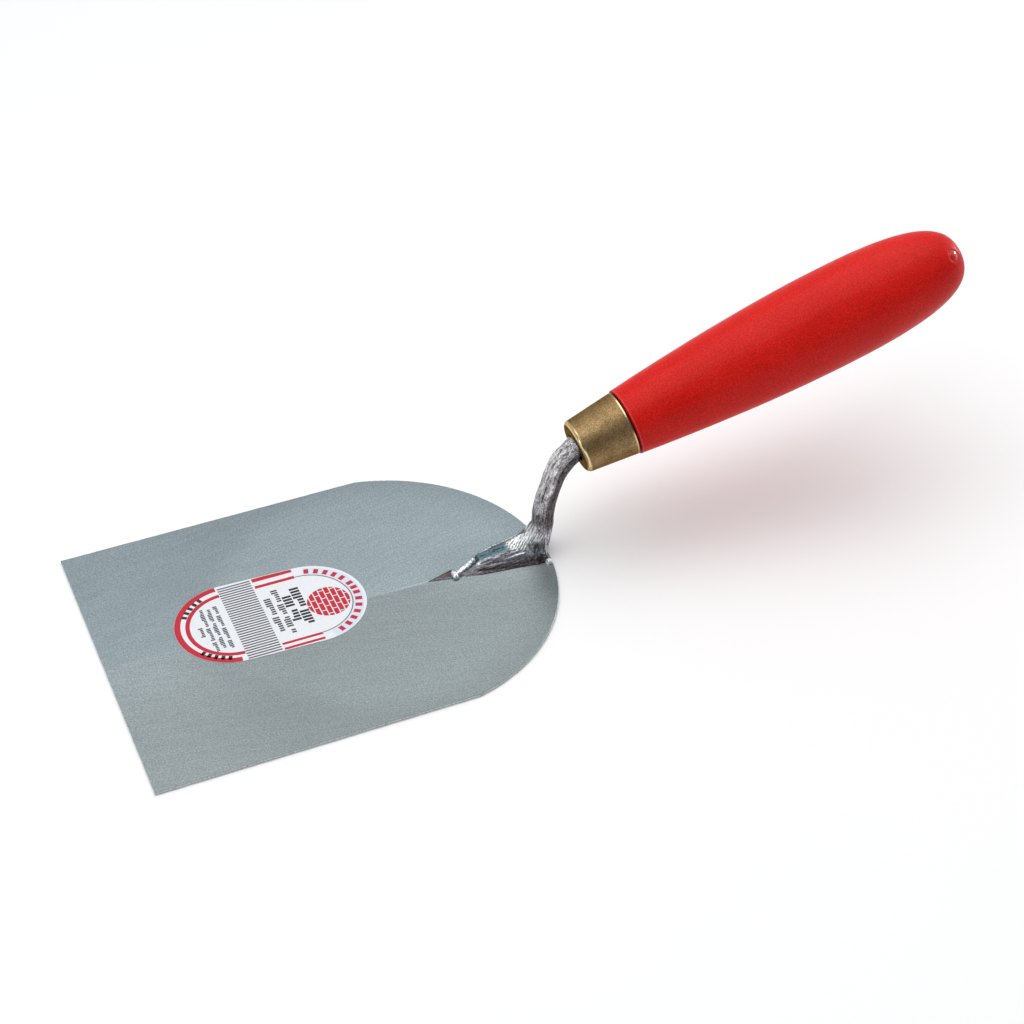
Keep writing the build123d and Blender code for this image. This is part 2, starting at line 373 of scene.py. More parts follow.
def file_strokes(steel, filed):
    """Patchy, wandering waves from -1 to 1 across the filed part of the skirt."""
    where = steel.add("TexCoord").outputs["Object"]
    sweep = steel.add("VectorMath", {0: where, 1: FILE_SWEEP}, operation="DOT_PRODUCT")
    turns = steel.math("MULTIPLY", sweep.outputs["Value"], 2 * math.pi / (FILE_PITCH * MM))
    wander = steel.math("MULTIPLY", steel.noise(steel.place((260, 260, 260)), 3, 0.6), 11.0)
    wave = steel.math("SINE", steel.math("ADD", turns, wander))
    patchy = steel.noise(steel.place((420, 420, 420)), 2, 0.6)
    patchy = steel.spread(patchy, 0.35, 0.6, 0.25, 1)
    return steel.math("MULTIPLY", wave, steel.math("MULTIPLY", filed, patchy))


def forged_tone(steel, streaks, fine, scale, foot):
    """Light and dark of the hammered skin and its scale, with bright specks that are painted glints,
    calmer on the foot than on the bar.
    """
    dark = steel.spread(scale, 0.50, 0.62, 1.0, 0.4)
    # Painted glints: bright specks where the scale noise is low.
    bright = steel.spread(scale, 0.44, 0.36, 1.0, 1.5)
    tone = steel.spread(streaks, 0.3, 0.7, 0.66, 1.3)
    tone = steel.math("MULTIPLY", tone, steel.math("MULTIPLY", dark, bright))
    tone = steel.math("MULTIPLY", tone, steel.spread(fine, 0.36, 0.64, 0.6, 1.4))
    calm = steel.spread(foot, 0, 1, 1, 0.5)
    return steel.math("ADD", steel.math("MULTIPLY", steel.math("SUBTRACT", tone, 1.0), calm), 1.0)


def cold_shut(steel):
    """Narrow lap left along the bar by the hammer: 1 in its bottom, 0 beside it."""
    turned = steel.add("Attribute", attribute_name="flow").outputs["Vector"]
    turned = steel.add("Mapping", {"Vector": turned, "Rotation": (-SHUT_ANGLE, 0, 0)}).outputs[0]
    place = steel.add("SeparateXYZ", {0: turned})
    along, out, aside = place.outputs[0], place.outputs[1], place.outputs[2]
    drift = steel.spread(along, SHUT_START * MM, SHUT_END * MM, -0.15 * MM, 0.25 * MM)
    gap = steel.math("ABSOLUTE", steel.math("SUBTRACT", aside, drift))
    shut = steel.spread(gap, 0.08 * MM, 0.2 * MM, 1, 0)
    opening = steel.spread(along, SHUT_START * MM, (SHUT_START + 1.2) * MM, 0, 1)
    closing = steel.spread(along, (SHUT_END - 1.5) * MM, SHUT_END * MM, 1, 0)
    shut = steel.math("MULTIPLY", shut, steel.math("MULTIPLY", opening, closing))
    return steel.math("MULTIPLY", shut, steel.math("GREATER_THAN", out, 0.0))


def weld_metal(name, clean, burnt_tone):
    steel = Recipe(name, Metallic=1.0)
    spots = steel.noise(steel.place((1500, 1500, 1500)), 3, 0.6)
    burnt = steel.spread(spots, 0.54, 0.64, 0, 1)
    base = steel.mix(burnt, clean, burnt_tone)
    rough = steel.spread(spots, 0.4, 0.7, 0.45, 0.62)
    return steel.finish(Base_Color=base, Roughness=rough, Normal=steel.bump(spots, 0.1 * MM))


def brass():
    """Drawn brass, dulled by handling, with faint draw lines and tarnish, painted shade on its front
    face, and rubbed edges whose lighter colour is partly a painted highlight.
    """
    metal = Recipe("brass", Metallic=1.0, Specular_Tint=(0.5, 0.38, 0.24, 1.0))
    draw = metal.noise(metal.place((110, 1900, 1900), attribute="grip"), 3, 0.6)
    cloud = metal.noise(metal.place((190, 190, 190)), 4, 0.6)
    specks = metal.noise(metal.place((2400, 2400, 2400)), 2, 0.6)
    base = metal.mix(metal.spread(cloud, 0.35, 0.7, 0, 1), rgb(156, 131, 93), rgb(134, 109, 75))
    base = metal.scaled(base, metal.spread(draw, 0.3, 0.7, 0.9, 1.1))
    base = metal.scaled(base, metal.spread(specks, 0.36, 0.64, 0.66, 1.34))
    along = metal.add("SeparateXYZ", {0: metal.place(attribute="grip")}).outputs[0]
    # Rubbed edges at the nose and the rear rim: wear, lightened further as a painted highlight.
    nose = metal.spread(along, -(FERRULE_LENGTH - 1.65) * MM, -(FERRULE_LENGTH - 1.2) * MM, 0, 1)
    tail = metal.spread(along, -0.75 * MM, -0.55 * MM, 0, 0.8)
    polish_and_highlight = metal.math("MAXIMUM", nose, tail)
    base = metal.mix(polish_and_highlight, base, rgb(236, 208, 160))
    # Painted shade: the front face is darkened.
    front = metal.spread(along, -(FERRULE_LENGTH - 0.35) * MM, -(FERRULE_LENGTH - 0.1) * MM, 0, 1)
    base = metal.mix(front, base, rgb(118, 95, 62))
    satin = metal.spread(cloud, 0.3, 0.7, 0.5, 0.6)
    rough = metal.math("MULTIPLY", satin, metal.spread(polish_and_highlight, 0, 1, 1.0, 0.3))
    rough = metal.math("ADD", rough, metal.spread(front, 0, 1, 0, 0.3))
    normal = metal.bump(draw, 0.03 * MM)
    return metal.finish(Base_Color=base, Roughness=rough, Normal=normal)


def lacquer():
    """Red lacquer over turned wood whose grain shows faintly, glossier where it dripped on the butt."""
    paint = Recipe("red_lacquer", IOR=1.5, Specular_IOR_Level=0.1, Coat_Roughness=0.07)
    grip = paint.place(attribute="grip")
    grain = paint.noise(paint.place((45, 900, 900), attribute="grip"), 4, 0.6, 0.4)
    peel = paint.noise(paint.place((420, 420, 420)), 2, 0.5)
    specks = paint.noise(paint.place((2300, 2300, 2300)), 2, 0.7)
    cloud = paint.noise(paint.place((60, 60, 60), attribute="grip"), 3, 0.5)
    base = paint.mix(paint.spread(cloud, 0.3, 0.7, 0, 1), rgb(207, 27, 21), rgb(215, 33, 26))
    base = paint.scaled(base, paint.spread(grain, 0.3, 0.7, 0.95, 1.04))
    base = paint.scaled(base, paint.spread(specks, 0.38, 0.62, 0.76, 1.24))
    along = paint.add("SeparateXYZ", {0: grip}).outputs[0]
    # Painted shade: the paint darkens in the gap at the seam.
    painted_seam_shade = paint.spread(along, (SEAM_GAP + 0.1) * MM, (SEAM_GAP + 0.35) * MM, 0.3, 1)
    base = paint.scaled(base, painted_seam_shade)
    # Painted highlight: a pale pink line along the lip beside the seam.
    lip_front = paint.spread(along, 0.8 * MM, 1.0 * MM, 0, 1)
    lip_back = paint.spread(along, 1.1 * MM, 1.4 * MM, 1, 0)
    lip = paint.math("MULTIPLY", lip_front, lip_back)
    base = paint.mix(paint.math("MULTIPLY", lip, 0.25), base, rgb(240, 120, 124))
    rough = paint.spread(peel, 0.3, 0.7, 0.38, 0.48)
    height = paint.math("ADD", paint.math("MULTIPLY", grain, 0.3), peel)
    normal = paint.bump(height, 0.05 * MM)
    gap = paint.add("VectorMath", {0: grip, 1: nub_place() * MM}, operation="DISTANCE")
    coat = paint.spread(gap.outputs["Value"], 2.0 * MM, 3.4 * MM, 1.0, 0.03, smooth=True)
    return paint.finish(Base_Color=base, Roughness=rough, Normal=normal, Coat_Weight=coat)


def paper(name, light, dark):
    """Coated label paper or ink, with faint fibre mottling and scuffs."""
    sheet = Recipe(name, IOR=1.45)
    fibres = sheet.noise(sheet.place((900, 1500, 900), 0.4), 4, 0.65)
    scuffs = sheet.noise(sheet.place((120, 700, 120), -0.9), 3, 0.6)
    base = sheet.mix(sheet.spread(fibres, 0.3, 0.7, 0, 1), light, dark)
    base = sheet.scaled(base, sheet.spread(scuffs, 0.6, 0.75, 1.0, 0.95))
    rough = sheet.spread(fibres, 0.3, 0.7, 0.4, 0.52)
    return sheet.finish(Base_Color=base, Roughness=rough, Normal=sheet.bump(fibres, 0.02 * MM))


# ---------------------------------------------------------------- blade


def blade_outline():
    """Outline of the sheet in millimetres, anticlockwise, with the toe edge last."""
    heel_x = BLADE_HIGH.x / MM
    half = BLADE_HIGH.y / MM
    centre = heel_x - HEEL_RADIUS
    sweep = math.asin(half / HEEL_RADIUS)
    corner_x = centre + HEEL_RADIUS * math.cos(sweep)
    side = np.linspace(-heel_x, corner_x, 90)[:-1]
    toe = np.linspace(half, -half, 90)[1:-1]
    right = [(x, -half) for x in side]
    heel = [
        (centre + HEEL_RADIUS * math.cos(a), HEEL_RADIUS * math.sin(a))
        for a in np.linspace(-sweep, sweep, 240)
    ]
    left = [(x, half) for x in side[::-1]]
    end = [(-heel_x, y) for y in toe]
    return np.array(right + heel + left + end)


def inset(outline, by):
    """Outline moved inwards by a distance that may differ from point to point."""
    ahead = np.roll(outline, -1, axis=0) - outline
    behind = outline - np.roll(outline, 1, axis=0)
    ahead /= np.linalg.norm(ahead, axis=1)[:, None]
    behind /= np.linalg.norm(behind, axis=1)[:, None]
    normal = np.column_stack([-(ahead + behind)[:, 1], (ahead + behind)[:, 0]])
    normal /= np.maximum(np.linalg.norm(normal, axis=1), 0.7)[:, None]
    return outline + normal * np.asarray(by)[:, None]


def wear(outline, depth):
    """How far each point of the rim is worn back, from none to depth."""
    level = np.column_stack([outline, np.zeros(len(outline))])
    return depth * np.maximum(0.0, noise_at(level, 0.9, (0, 0, 4.2)))


def build_blade():
    outline = blade_outline()
    worn = wear(outline, RIM_WEAR)
    count = len(outline)
    low, high = BLADE_LOW.z / MM, BLADE_TOP / MM
    rings = [
        (inset(outline, worn + RIM_CHAMFER * 1.4), low),
        (inset(outline, worn), low + RIM_CHAMFER),
        (inset(outline, worn), high - RIM_CHAMFER),
        (inset(outline, worn + RIM_CHAMFER), high),
    ]
    vertices = [(x * MM, y * MM, z * MM) for ring, z in rings for x, y in ring]
    faces = [tuple(reversed(range(count))), tuple(range(3 * count, 4 * count))]
    for ring in range(3):
        for i in range(count):
            j = (i + 1) % count
            start = ring * count
            faces.append((start + i, start + j, start + count + j, start + count + i))
    mesh = make_mesh("blade_sheet", vertices, faces, False)
    add_piece("blade_sheet", mesh, (blade_steel(), rim_steel()), "blade", "blade")
    for polygon in mesh.polygons[2:]:
        polygon.material_index = 1


# ---------------------------------------------------------------- label


def label_point(along, across, angle):
    x = LABEL_X + along * math.cos(angle) - across * math.sin(angle)
    y = LABEL_Y + along * math.sin(angle) + across * math.cos(angle)
    return x, y


def stadium(length, width):
    """Outline of a round-ended strip about its own centre, anticlockwise."""
    radius = width / 2
    reach = length / 2 - radius
    turn = np.linspace(-math.pi / 2, math.pi / 2, 64)
    heel = [(reach + radius * math.cos(a), radius * math.sin(a)) for a in turn]
    return heel + [(-x, -y) for x, y in heel]


def to_print(points):
    """Points of the paper's frame turned into the frame of its slightly skewed print."""
    turn = LABEL_ANGLE - PRINT_ANGLE
    return [
        (x * math.cos(turn) - y * math.sin(turn), x * math.sin(turn) + y * math.cos(turn))
        for x, y in points
    ]


PAPER_MARGIN = 0.25
PAPER_EDGE = to_print(stadium(LABEL_LENGTH - 2 * PAPER_MARGIN, LABEL_WIDTH - 2 * PAPER_MARGIN))


def clipped(polygon, boundary):
    """Convex polygon cut to a convex anticlockwise boundary."""
    kept = list(polygon)
    for (ax, ay), (bx, by) in zip(boundary, boundary[1:] + boundary[:1]):
        def side(p):
            return (bx - ax) * (p[1] - ay) - (by - ay) * (p[0] - ax)
        out = []
        for p, q in zip(kept, kept[1:] + kept[:1]):
            sp, sq = side(p), side(q)
            if sp >= 0:
                out.append(p)
            if sp * sq < 0:
                share = sp / (sp - sq)
                out.append((p[0] + (q[0] - p[0]) * share, p[1] + (q[1] - p[1]) * share))
        kept = out
        if len(kept) < 3:
            return []
    return kept


class Ink:
    """Flat printed shapes of one colour, each a thin closed prism on the paper."""

    def __init__(self, level=0):
        self.vertices = []
        self.faces = []
        self.low = LABEL_TOP
        self.high = LABEL_TOP + (level + 1) * INK_THICKNESS * MM

    def add(self, points, caps):
        start = len(self.vertices)
        count = len(points)
        placed = [label_point(x, y, PRINT_ANGLE) for x, y in points]
        for z in (self.low, self.high):
            self.vertices += [(x * MM, y * MM, z) for x, y in placed]
        for cap in caps:
            self.faces.append(tuple(start + i for i in reversed(cap)))
            self.faces.append(tuple(start + count + i for i in cap))
        for i in range(count):
            j = (i + 1) % count
            self.faces.append((start + i, start + j, start + count + j, start + count + i))

    def patch(self, points, boundary=PAPER_EDGE):
        kept = clipped(points, boundary)
        if kept:
            self.add(kept, [tuple(range(len(kept)))])

    def box(self, x0, x1, y0, y1):
        self.patch([(x0, y0), (x1, y0), (x1, y1), (x0, y1)])

    def band(self, inner, outer):
        """Curved strip between two rows of points that run the same way, inner on the left."""
        count = len(inner)
        ring = list(outer) + list(inner)[::-1]
        caps = [(i, i + 1, 2 * count - 2 - i, 2 * count - 1 - i) for i in range(count - 1)]
        self.add(ring, caps)

    def arc(self, centre, inner, outer, first, last):
        """Curved strip about a centre, between two angles in degrees."""
        rows = [arc_points(centre, radius, first, last, 48) for radius in (inner, outer)]
        self.band(*rows)

    def mark(self, centre, radius, angle, width, height):
        """Small bar that points out from a centre."""
        out = Vector((math.cos(math.radians(angle)), math.sin(math.radians(angle))))
        side = Vector((-out.y, out.x)) * width / 2
        foot = Vector(centre) + out * radius
        top = foot + out * height
        self.patch([tuple(corner) for corner in (foot - side, top - side, top + side, foot + side)])

    def text_row(self, x0, x1, top, bottom, stroke, gap, words):
        """Row of plain strokes that stands for a line of print, split into words."""
        pitch = stroke + gap
        places = int((top - bottom) / pitch)
        lengths = (1.0, 1.0, 0.66, 1.0, 0.72, 0.66, 1.0, 0.66)
        for place in range(places):
            if place in words:
                continue
            tall = lengths[(place * 5 + len(words)) % len(lengths)]
            start = top - place * pitch
            self.box(x1 - (x1 - x0) * tall, x1, start - stroke, start)

    def finish(self, name, material):
        mesh = make_mesh(name, self.vertices, self.faces, False)
        add_piece(name, mesh, material, "label")


# Print, in millimetres from the label's middle towards its heel end and its left side.
HEEL_CENTRE = (13.0, -0.8)
TOE_CENTRE = (-13.4, 0.1)
TOE_RIM_CENTRE = to_print([((LABEL_WIDTH - LABEL_LENGTH) / 2, 0)])[0]
RING_INNER, RING_OUTER = 15.7, 19.6
MARK_RADIUS = 16.5
HATCH_TOE, HATCH_HEEL = -13.8, -1.9
HATCH_RIGHT = -19.3
HATCH_PITCH = 1.27
HATCH_WIDTH = 0.62
HATCH_LINES = 31
EMBLEM_CENTRE = (20.2, -2.0)
EMBLEM_RADIUS = 7.5


def build_label():
    build_paper()
    print_ring()
    print_hatch()
    print_red()
    print_black()


def build_paper():
    outline = [label_point(x, y, LABEL_ANGLE) for x, y in stadium(LABEL_LENGTH, LABEL_WIDTH)]
    count = len(outline)
    vertices = [(x * MM, y * MM, z) for z in (BLADE_TOP, LABEL_TOP) for x, y in outline]
    faces = [tuple(reversed(range(count))), tuple(range(count, 2 * count))]
    for i in range(count):
        j = (i + 1) % count
        faces.append((i, j, count + j, count + i))
    white = paper("label_paper", rgb(231, 233, 237), rgb(223, 226, 231))
    add_piece("label_sheet", make_mesh("label_sheet", vertices, faces, False), white, "label", "label")


def print_ring():
    pale = Ink()
    pale.arc(HEEL_CENTRE, RING_INNER, RING_OUTER, -78, 78)
    pale.finish("label_pale_ring", paper("pale_ink", rgb(214, 222, 235), rgb(206, 216, 231)))


def print_hatch():
    """Fine hatching across the label, and the thin line inside the pale ring."""
    grey = Ink(1)
    grey.arc(HEEL_CENTRE, RING_INNER - 0.25, RING_INNER + 0.1, -89, 89)
    for line in range(HATCH_LINES):
        y = HATCH_RIGHT + HATCH_PITCH * line
        grey.box(HATCH_TOE, HATCH_HEEL, y, y + HATCH_WIDTH)
    grey.finish("label_grey_lines", paper("grey_ink", rgb(80, 76, 80), rgb(98, 94, 98)))


def print_red():
    """Stripes along both sides and round the toe end, bars round the heel end, and the emblem."""
    red = Ink(1)
    for low, high in ((17.9, 19.8), (14.3, 15.7), (-17.3, -16.2), (-19.9, -18.8)):
        red.box(-1.2, 13.2, low, high)
    red.arc(TOE_RIM_CENTRE, 18.0, 20.1, 93, 263)
    red.arc(TOE_CENTRE, 14.9, 16.4, 92, 268)
    for angle in (74, 63, 52, 41, 30, 17, 8, -1, -12, -23, -34, -45, -56, -67):
        red.mark(HEEL_CENTRE, MARK_RADIUS, angle, 1.7, 2.4)
    add_emblem(red, EMBLEM_CENTRE, EMBLEM_RADIUS)
    red.finish("label_red_print", paper("red_ink", rgb(183, 6, 36), rgb(196, 12, 46)))


def print_black():
    """Rows of strokes in three sizes, and bars round the toe end, where the real label has print."""
    black = Ink(1)
    black.text_row(9.3, 12.6, 9.5, -11.5, 1.05, 0.5, (7,))
    black.text_row(5.7, 8.9, 6.3, -8.7, 1.05, 0.5, (4,))
    black.text_row(3.0, 5.3, 11.0, -14.0, 0.7, 0.45, (6, 12, 18))
    black.text_row(-0.5, 1.9, 7.5, -11.0, 0.7, 0.45, (8,))
    for x, top, bottom, words in (
        (-17.9, 11.0, -12.5, (5, 13, 21)), (-20.5, 10.3, -11.5, (8, 17)),
        (-23.0, 11.0, -12.5, (11, 20)), (-25.5, 2.0, -3.5, ()),
    ):
        black.text_row(x, x + 1.5, top, bottom, 0.55, 0.3, words)
    for angle in (116, 124, 132, 140, 148, 218, 226, 234, 242, 250):
        black.mark(TOE_CENTRE, MARK_RADIUS, angle, 1.3, 1.9)
    black.finish("label_black_print", paper("black_ink", rgb(18, 17, 20), rgb(30, 29, 32)))


def add_emblem(ink, centre, radius):
    """Roundel of brickwork in running bond."""
    disc = arc_points(centre, radius, 0, 352.5, 48)
    course, joint, brick = 2.0, 0.4, 4.1
    for row in range(-4, 4):
        x0 = centre[0] + row * course + joint / 2
        offset = brick / 2 if row % 2 else 0.0
        for step in range(-3, 4):
            y0 = centre[1] + step * brick + offset + joint / 2
            corners = [(x0, y0), (x0 + course - joint, y0)]
            corners += [(x0 + course - joint, y0 + brick - joint), (x0, y0 + brick - joint)]
            ink.patch(corners, disc)


# ---------------------------------------------------------------- grip


GRIP = Matrix.Translation(SEAM) @ Matrix((
    (math.cos(HANDLE_TILT), -math.sin(HANDLE_TILT), 0, 0),
    (0, 0, -1, 0),
    (math.sin(HANDLE_TILT), math.cos(HANDLE_TILT), 0, 0),
    (0, 0, 0, 1),
))


def lathe(name, profile, turns, hollow, shape=None):
    """Turned solid on the grip axis. Profile rows are (along, radius) in millimetres.

    A solid profile begins and ends on the axis, and a hollow one is a closed loop off it.
    """
    rows = np.array(profile if hollow else profile[1:-1], float)
    turn = np.arange(turns) * 2 * math.pi / turns
    along = np.repeat(rows[:, 0], turns)
    radius = np.repeat(rows[:, 1], turns)
    angle = np.tile(turn, len(rows))
    if shape is not None:
        along, radius = shape(along, radius, angle)
    local = np.column_stack([along, radius * np.cos(angle), radius * np.sin(angle)])
    count = len(rows)
    faces = []
    for row in range(count if hollow else count - 1):
        first, second = row * turns, (row + 1) % count * turns
        for i in range(turns):
            j = (i + 1) % turns
            faces.append((first + i, first + j, second + j, second + i))
    if not hollow:
        poles = [(profile[0][0], 0, 0), (profile[-1][0], 0, 0)]
        start = len(local)
        local = np.vstack([local, poles])
        last = (count - 1) * turns
        for i in range(turns):
            j = (i + 1) % turns
            faces.append((start, j, i))
            faces.append((start + 1, last + i, last + j))
    placed = [GRIP @ (Vector(p) * MM) for p in local]
    mesh = make_mesh(name, placed, faces, True)
    store_vectors(mesh, "grip", local * MM)
    return mesh


def handle_radius(along):
    swell = (1 - along / HANDLE_MAX_AT) ** SWELL_POWER
    return HANDLE_MAX_RADIUS - (HANDLE_MAX_RADIUS - HANDLE_FRONT_RADIUS) * swell


def handle_profile():
    """Closed outline from the bore of the tang over tenon, lip and swell to the pole of the butt."""
    root = FERRULE_REAR_RADIUS - FERRULE_WALL
    taper = (FERRULE_REAR_RADIUS - FERRULE_FRONT_RADIUS) / FERRULE_LENGTH
    lip_end = SEAM_GAP + LIP_RADIUS
    lip_top = handle_radius(lip_end)
    bore = [(TANG_REACH + TANG_TIP_RADIUS, 0), (TANG_REACH, TANG_TIP_RADIUS)]
    bore.append((-TENON_LENGTH, NECK_RADIUS))
    tenon = [(-TENON_LENGTH, root - taper * TENON_LENGTH), (0, root), (SEAM_GAP, root)]
    lip = arc_points((lip_end, lip_top - LIP_RADIUS), LIP_RADIUS, 180, 90, 7)
    swell = [(s, handle_radius(s)) for s in np.linspace(lip_end, HANDLE_MAX_AT, 120)[1:]]
    butt = []
    for share in np.linspace(0, 1, 170)[1:-1]:
        angle = share * math.pi / 2
        reach = math.sin(angle) ** (2 / BUTT_POWER)
        radius = HANDLE_MAX_RADIUS * math.cos(angle) ** (2 / BUTT_POWER)
        butt.append((HANDLE_MAX_AT + (HANDLE_LENGTH - HANDLE_MAX_AT) * reach, radius))
    return bore + tenon + lip + swell + butt + [(HANDLE_LENGTH, 0)]


def ferrule_profile():
    """Closed outline of the cup's wall, from the edge at the seam round the nose and back inside."""
    taper = (FERRULE_REAR_RADIUS - FERRULE_FRONT_RADIUS) / FERRULE_LENGTH
    rim = FERRULE_REAR_RADIUS - taper * TENON_LENGTH
    centre = (-TENON_LENGTH, rim - FERRULE_NOSE_RADIUS)
    front = -FERRULE_LENGTH
    edge = 0.18
    skin = [(0, FERRULE_REAR_RADIUS - edge)]
    skin += [(-s, FERRULE_REAR_RADIUS - taper * s) for s in np.linspace(edge, TENON_LENGTH, 40)[:-1]]
    nose = arc_points(centre, FERRULE_NOSE_RADIUS, 90, 180, 16)
    mouth = arc_points((front + edge, FERRULE_MOUTH_RADIUS + edge), edge, 180, 270, 5)
    mouth.append((front + FERRULE_WALL, FERRULE_MOUTH_RADIUS))
    inner = arc_points(centre, FERRULE_NOSE_RADIUS - FERRULE_WALL, 180, 90, 6)
    return skin + nose + mouth + inner + [(0, FERRULE_REAR_RADIUS - FERRULE_WALL)]


# Drip of lacquer on the butt: place along the grip axis, angle round it and distance from it.
NUB_ALONG = 128.8
NUB_ANGLE = math.radians(49.7)
NUB_RADIUS = 10.9

# How far the turned surface wanders under its true radius, in millimetres each way.
WAVINESS = 0.05


def nub_place():
    """Where the drip sits, in millimetres along and across the grip axis."""
    return Vector((NUB_ALONG, NUB_RADIUS * math.cos(NUB_ANGLE), NUB_RADIUS * math.sin(NUB_ANGLE)))


def handle_shape(along, radius, angle):
    """Hand-finished turning: slow waviness, and a drip of lacquer set in a dimple on the butt."""
    shown = (along > SEAM_GAP + LIP_RADIUS) & ((radius > NECK_RADIUS) | (along > HANDLE_MAX_AT))
    waves = noise_at(np.column_stack([along, np.cos(angle), np.sin(angle)]), (0.05, 1.3, 1.3))
    points = np.column_stack([along, radius * np.cos(angle), radius * np.sin(angle)])
    gap = np.linalg.norm(points - np.array(nub_place()), axis=1)
    uneven = noise_at(points, 0.55)
    drip = 0.26 * bell(gap, 0, 1.3)
    dimple = -0.24 * (0.8 + 0.8 * uneven) * bell(gap, 2.0, 0.5)
    rim = 0.12 * (0.3 + 1.2 * uneven) * bell(gap, 2.9, 0.5)
    push = drip + dimple + rim + WAVINESS * (waves - 1)
    return along, radius + np.where(shown, push, 0)


def build_grip():
    handle = lathe("handle_body", handle_profile(), 256, False, handle_shape)
    add_piece("handle_body", handle, lacquer(), "handle", "handle")
    ferrule = lathe("ferrule_cup", ferrule_profile(), 160, True)
    add_piece("ferrule_cup", ferrule, brass(), "ferrule", "ferrule")


# ---------------------------------------------------------------- forging


# Samples of the neck's centre: their spacing, and how far they go on past the bends, in millimetres.
CENTRELINE_STEP = 0.25
CENTRELINE_PAST_BENDS = 90.0


def neck_centreline():
    """Samples of the bar's centre: distance along it, x, z and heading, in millimetres."""
    tilt_slope, lean_slope = math.tan(HANDLE_TILT), math.tan(NECK_LEAN)
    rise = SEAM.z / MM - NECK_KNEE_Z - tilt_slope * (SEAM.x / MM - NECK_FOOT_X)
    run = rise / (lean_slope - tilt_slope)
    lower_turn = math.pi / 2 - NECK_LEAN
    upper_turn = NECK_LEAN - HANDLE_TILT
    lower_cut = LOWER_BEND_RADIUS * math.tan(lower_turn / 2)
    upper_cut = UPPER_BEND_RADIUS * math.tan(upper_turn / 2)
    runs = [
        (NECK_KNEE_Z - BLADE_TOP / MM - lower_cut, 0),
        (LOWER_BEND_RADIUS * lower_turn, lower_turn),
        (run / math.cos(NECK_LEAN) - lower_cut - upper_cut, 0),
        (UPPER_BEND_RADIUS * upper_turn, upper_turn),
        (CENTRELINE_PAST_BENDS, 0),
    ]
    x, z, heading, gone = NECK_FOOT_X, BLADE_TOP / MM, math.pi / 2, 0.0
    samples = [(gone, x, z, heading)]
    for length, turn in runs:
        count = max(2, round(length / CENTRELINE_STEP))
        for _ in range(count):
            middle = heading - turn / count / 2
            x += length / count * math.cos(middle)
            z += length / count * math.sin(middle)
            heading -= turn / count
            gone += length / count
            samples.append((gone, x, z, heading))
    return np.array(samples)


def remeshed(node, voxel, smoothing):
    """Even mesh of a CAD node, with its corners softened."""
    scene = bpy.context.scene
    source = bpy.data.objects.new("source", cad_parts[node].data.copy())
    scene.collection.objects.link(source)
    remesh = source.modifiers.new("remesh", "REMESH")
    remesh.mode = "VOXEL"
    remesh.voxel_size = voxel * MM
    soften = source.modifiers.new("soften", "SMOOTH")
    soften.factor = 0.5
    soften.iterations = smoothing
    graph = bpy.context.evaluated_depsgraph_get()
    mesh = bpy.data.meshes.new_from_object(source.evaluated_get(graph))
    bpy.data.objects.remove(source)
    mesh.polygons.foreach_set("use_smooth", [True] * len(mesh.polygons))
    return mesh


def points_and_normals(mesh):
    count = len(mesh.vertices)
    points = np.zeros(count * 3, np.float32)
    mesh.vertices.foreach_get("co", points)
    normals = np.zeros(count * 3, np.float32)
    mesh.vertex_normals.foreach_get("vector", normals)
    return points.reshape(-1, 3).astype(float) / MM, normals.reshape(-1, 3).astype(float)


def move_points(mesh, points):
    mesh.vertices.foreach_set("co", (points * MM).astype(np.float32).ravel())
    mesh.update()


def along_bar(points):
    """Distance of each point along the bar, and its angle round it, 0 on the side that ends on top."""
    samples = neck_centreline()
    nearest = np.zeros(len(points), int)
    batch = 20000
    for start in range(0, len(points), batch):
        part = points[start:start + batch]
        dx = part[:, None, 0] - samples[None, :, 1]
        dz = part[:, None, 2] - samples[None, :, 2]
        nearest[start:start + batch] = (dx * dx + dz * dz).argmin(1)
    gone, x, z, heading = samples[nearest].T
    offset_x, offset_z = points[:, 0] - x, points[:, 2] - z
    up = -offset_x * np.sin(heading) + offset_z * np.cos(heading)
    return gone, np.arctan2(points[:, 1], up)


# Size of the meshes' cells, in millimetres.
NECK_VOXEL = 0.25
BEAD_VOXEL = 0.13

# How much slower the grain of the forging changes along the foot than along the bar.
FOOT_FLOW = 0.45

# Drop of weld metal spattered at the corner of the nose, carrying a painted glint, in millimetres.
SPATTER_AND_GLINT = (53.6, -3.0, 3.4)
SPATTER_AND_GLINT_SIZE = 0.55


class NeckMarks:
    """Marks on the forging: the filed skirt, the ribs drawn along the bend, and a spattered weld drop
    with its painted glint.
    """

    def __init__(self, points, gone, angle):
        x, y, z = points.T
        height = z - BLADE_TOP / MM
        ragged = noise_at(points, (0.5, 0.5, 0.5), 2.4)
        self.filed = smoothstep(64, 69, x) * smoothstep(0.2, 0.4, up_flank(x, y))
        self.filed *= smoothstep(4, 6, height + ragged - 0.35 * np.maximum(x - 70, 0))
        self.filed *= 1 - smoothstep(9.5, 11.5, height + 2.0 * ragged + 0.4 * (x - 74))
        self.filed *= 1 - smoothstep(77, 80, x + ragged)
        self.draw_lines = np.sin(17 * angle + 3.0 * noise_at(points, (0.16, 0.16, 0.16), 4.4))
        ragged_gone = gone + 3 * ragged
        self.drawn = smoothstep(25, 29, ragged_gone) * (1 - smoothstep(36, 41, ragged_gone))
        self.spatter_and_glint = bell(np.linalg.norm(points - SPATTER_AND_GLINT, axis=1), 0, SPATTER_AND_GLINT_SIZE)


